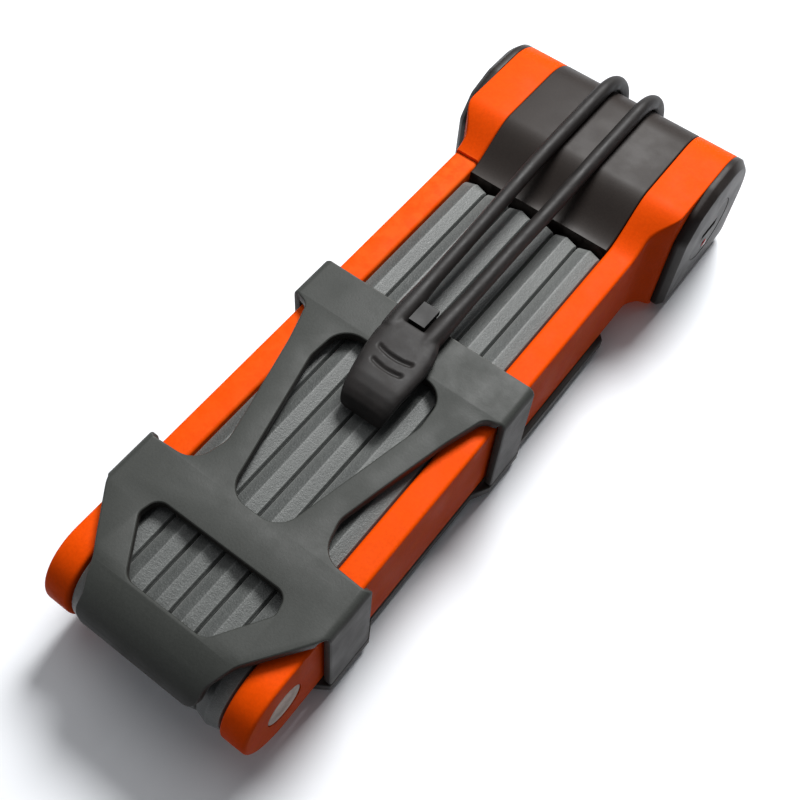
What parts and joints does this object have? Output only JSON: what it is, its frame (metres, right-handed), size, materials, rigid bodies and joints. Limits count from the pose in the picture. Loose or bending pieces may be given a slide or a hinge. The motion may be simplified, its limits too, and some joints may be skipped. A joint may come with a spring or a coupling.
{
  "type": "folding bike lock",
  "caption": "Folding bicycle lock: steel links in ribbed and orange covers, riveted end to end, folded beside a keyed lock head and strapped into a moulded frame holder",
  "frame": {"origin": "middle of the footprint, on the faces of the holder that rest on the bike frame", "axes": "+X across the stack of links towards the keyhole side, +Y from the tail of the holder to the lock head, +Z from the bike frame out to the front face"},
  "size_m": [0.0721, 0.2087, 0.043],
  "materials": {
    "cage_plastic": "fine-grain moulded",
    "back_plastic": "fine-grain moulded",
    "pad_rubber": "soft, fine ribs",
    "peg_plastic": "polished",
    "bare_steel": "zinc plated",
    "strap_rubber": "smooth moulded",
    "head_plastic": "satin moulded",
    "orange_plastic": "soft-touch satin",
    "cap_plastic": "satin moulded",
    "cylinder_brass": "machined",
    "hard_steel": "hardened and blasted",
    "red_plastic": "polished",
    "grip_plastic": "speckled, fine texture",
    "rivet_steel": "browned and spun flat",
    "nylon": "natural"
  },
  "bodies": {
    "holder": {"holder_cage": "cage_plastic", "holder_back": "back_plastic", "frame_pads": "pad_rubber", "strap_peg": "peg_plastic", "strap_pin": "bare_steel"},
    "strap_band": {"strap": "strap_rubber"},
    "lock_body": {"head_core": "head_plastic", "shoulder_left": "orange_plastic", "cap_right": "cap_plastic", "cap_left": "cap_plastic", "head_rods": "bare_steel", "lock_cylinder": "cylinder_brass", "bolt_spring": "bare_steel", "link_cover_1": "orange_plastic", "link_core_1": "hard_steel", "rivet_1": "rivet_steel", "washer_1": "nylon"},
    "key_barrel": {"key_plug": "cylinder_brass", "disc_pack": "bare_steel", "sidebar": "bare_steel", "tail_crank": "bare_steel"},
    "bolt": {"locking_bolt": "hard_steel"},
    "shutter": {"dust_cover": "cap_plastic", "dust_knob": "red_plastic"},
    "link_2": {"link_cover_2": "grip_plastic", "link_core_2": "hard_steel", "rivet_2": "rivet_steel", "washer_2": "nylon"},
    "link_3": {"link_cover_3": "grip_plastic", "link_core_3": "hard_steel", "rivet_3": "rivet_steel", "washer_3": "nylon"},
    "link_4": {"link_cover_4": "grip_plastic", "link_core_4": "hard_steel", "rivet_4": "rivet_steel", "washer_4": "nylon"},
    "link_5": {"link_cover_5": "grip_plastic", "link_core_5": "hard_steel", "rivet_5": "rivet_steel", "washer_5": "nylon"},
    "link_6": {"link_cover_6": "grip_plastic", "link_core_6": "hard_steel", "rivet_6": "rivet_steel", "washer_6": "nylon"},
    "link_7": {"link_cover_7": "grip_plastic", "link_core_7": "hard_steel", "rivet_7": "rivet_steel", "washer_7": "nylon"},
    "link_8": {"link_cover_8": "orange_plastic", "link_core_8": "hard_steel"}
  },
  "joints": [
    {"name": "take_out", "type": "slide", "parent": "holder", "child": "lock_body", "axis": [0, 1, 0], "range_m": [0, 1.2]},
    {"name": "pivot_1", "type": "hinge", "parent": "lock_body", "child": "link_2", "pos_m": [0.02115, -0.0903, 0.0185], "axis": [1, 0, 0], "range_deg": [0, 150]},
    {"name": "pivot_2", "type": "hinge", "parent": "link_2", "child": "link_3", "pos_m": [0.01415, 0.0297, 0.0185], "axis": [-1, 0, 0], "range_deg": [0, 150]},
    {"name": "pivot_3", "type": "hinge", "parent": "link_3", "child": "link_4", "pos_m": [0.00715, -0.0903, 0.0185], "axis": [1, 0, 0], "range_deg": [0, 150]},
    {"name": "pivot_4", "type": "hinge", "parent": "link_4", "child": "link_5", "pos_m": [0.00015, 0.0297, 0.0185], "axis": [-1, 0, 0], "range_deg": [0, 150]},
    {"name": "pivot_5", "type": "hinge", "parent": "link_5", "child": "link_6", "pos_m": [-0.00685, -0.0903, 0.0185], "axis": [1, 0, 0], "range_deg": [0, 150]},
    {"name": "pivot_6", "type": "hinge", "parent": "link_6", "child": "link_7", "pos_m": [-0.01385, 0.0297, 0.0185], "axis": [-1, 0, 0], "range_deg": [0, 150]},
    {"name": "pivot_7", "type": "hinge", "parent": "link_7", "child": "link_8", "pos_m": [-0.02085, -0.0903, 0.0185], "axis": [1, 0, 0], "range_deg": [0, 150]},
    {"name": "strap_swing", "type": "hinge", "parent": "holder", "child": "strap_band", "pos_m": [0, 0.1017, 0.0034], "axis": [-1, 0, 0], "range_deg": [0, 120], "deforming": ["strap"]},
    {"name": "key_turn", "type": "hinge", "parent": "lock_body", "child": "key_barrel", "pos_m": [0.018, 0.0797, 0.019], "axis": [-1, 0, 0], "range_deg": [0, 90]},
    {"name": "bolt_slide", "type": "slide", "parent": "lock_body", "child": "bolt", "axis": [0, 0, -1], "range_m": [0, 0.00495], "deforming": ["bolt_spring"]},
    {"name": "shutter_turn", "type": "hinge", "parent": "lock_body", "child": "shutter", "pos_m": [0.034, 0.0797, 0.019], "axis": [1, 0, 0], "range_deg": [0, 90]}
  ],
  "couplings": [
    {"joint": "pivot_1", "follows": "take_out", "rad_per_m": 2.1816},
    {"joint": "pivot_2", "follows": "take_out", "rad_per_m": 2.1816},
    {"joint": "pivot_3", "follows": "take_out", "rad_per_m": 2.1816},
    {"joint": "pivot_4", "follows": "take_out", "rad_per_m": 2.1816},
    {"joint": "pivot_5", "follows": "take_out", "rad_per_m": 2.1816},
    {"joint": "pivot_6", "follows": "take_out", "rad_per_m": 2.1816},
    {"joint": "pivot_7", "follows": "take_out", "rad_per_m": 2.1816},
    {"joint": "bolt_slide", "follows": "key_turn", "m_per_rad": 0.00315}
  ]
}
